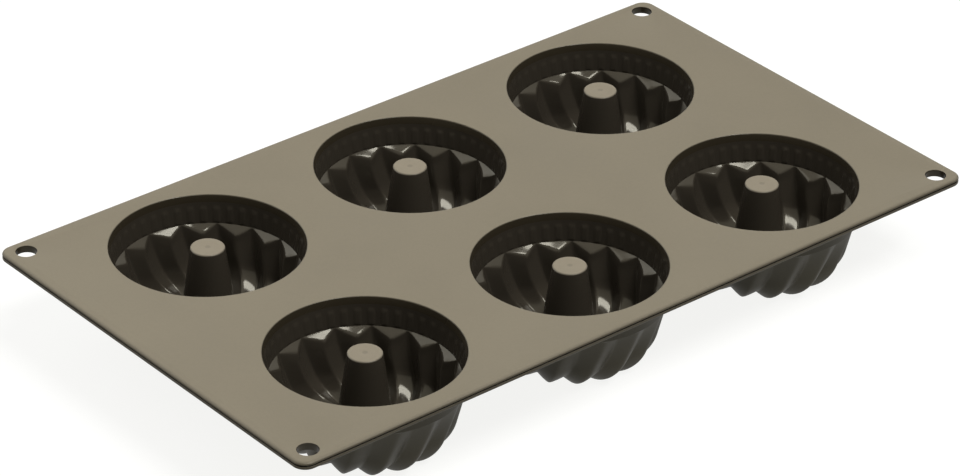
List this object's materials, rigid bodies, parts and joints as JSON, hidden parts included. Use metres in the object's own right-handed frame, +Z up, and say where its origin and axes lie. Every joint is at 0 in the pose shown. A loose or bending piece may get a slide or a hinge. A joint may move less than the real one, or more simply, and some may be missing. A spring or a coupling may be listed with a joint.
{
  "type": "mini fluted tube pan",
  "caption": "Flexible moulded baking sheet with two rows of ring-shaped cups, each with a ribbed collar, swirled flutes and a hollow centre cone; hanging holes in the corners.",
  "frame": {"origin": "on the surface that the cups stand on, below the middle of the sheet", "axes": "+X along the sheet's long side, +Y across it, +Z up out of the cups' mouths"},
  "size_m": [0.3, 0.173, 0.0355],
  "materials": {
    "sheet_silicone": "satin",
    "rim_silicone": "satin",
    "cup_silicone": "semi-gloss"
  },
  "bodies": {
    "root": {"sheet": "sheet_silicone", "rim": "rim_silicone", "collar_1": "cup_silicone", "collar_2": "cup_silicone", "collar_3": "cup_silicone", "collar_4": "cup_silicone", "collar_5": "cup_silicone", "collar_6": "cup_silicone", "cup_1": "cup_silicone", "cup_2": "cup_silicone", "cup_3": "cup_silicone", "cup_4": "cup_silicone", "cup_5": "cup_silicone", "cup_6": "cup_silicone", "cone_1": "cup_silicone", "cone_2": "cup_silicone", "cone_3": "cup_silicone", "cone_4": "cup_silicone", "cone_5": "cup_silicone", "cone_6": "cup_silicone"}
  },
  "joints": []
}
